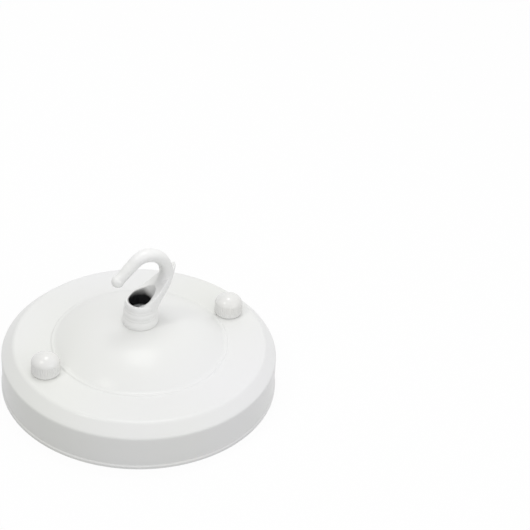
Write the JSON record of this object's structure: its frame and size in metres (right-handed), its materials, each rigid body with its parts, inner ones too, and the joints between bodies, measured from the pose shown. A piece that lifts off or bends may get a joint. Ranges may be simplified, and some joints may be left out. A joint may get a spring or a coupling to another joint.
{
  "type": "ceiling rose",
  "caption": "Round pressed-sheet ceiling rose with a cast cord-outlet hook, knurled cap nuts on threaded studs, and a ceiling strap with a terminal block inside.",
  "frame": {"origin": "centre of the rim, on the plane of the rim's edge that meets the ceiling", "axes": "+Z out of the face along the hook's boss, +X along the line of the studs towards the hook's leaf-shaped back, the hook's open side towards -X"},
  "size_m": [0.108, 0.108, 0.0603],
  "materials": {
    "white_enamel": "satin white stoving enamel",
    "zinc_steel": "bright zinc plated",
    "spring_steel": "hardened, dull",
    "tinned_brass": "tinned",
    "brass": "turned brass",
    "bush_plastic": "moulded, smooth",
    "terminal_plastic": "moulded, translucent ivory"
  },
  "bodies": {
    "rose": {"canopy": "white_enamel", "hook": "white_enamel", "threaded_nipple": "zinc_steel", "tooth_washer": "spring_steel", "earth_tag": "tinned_brass", "lock_nut": "zinc_steel", "cord_bush": "bush_plastic", "strap": "zinc_steel", "stud_left": "brass", "stud_right": "brass", "stud_nut_left": "zinc_steel", "stud_nut_right": "zinc_steel", "earth_screw": "brass", "cup_washer": "brass", "terminal_housing": "terminal_plastic", "terminal_fixing_screw": "zinc_steel", "terminal_insert_1": "brass", "terminal_insert_2": "brass", "terminal_insert_3": "brass", "clamp_screw_inner_1": "zinc_steel", "clamp_screw_inner_2": "zinc_steel", "clamp_screw_inner_3": "zinc_steel", "clamp_screw_outer_1": "zinc_steel", "clamp_screw_outer_2": "zinc_steel", "clamp_screw_outer_3": "zinc_steel"},
    "nut_left": {"thumb_nut_left": "white_enamel"},
    "nut_right": {"thumb_nut_right": "white_enamel"}
  },
  "joints": [
    {"name": "left_nut_unscrews", "type": "slide", "parent": "rose", "child": "nut_left", "axis": [0, 0, 1], "range_m": [0, 0.0045]},
    {"name": "right_nut_unscrews", "type": "slide", "parent": "rose", "child": "nut_right", "axis": [0, 0, 1], "range_m": [0, 0.0045]}
  ]
}
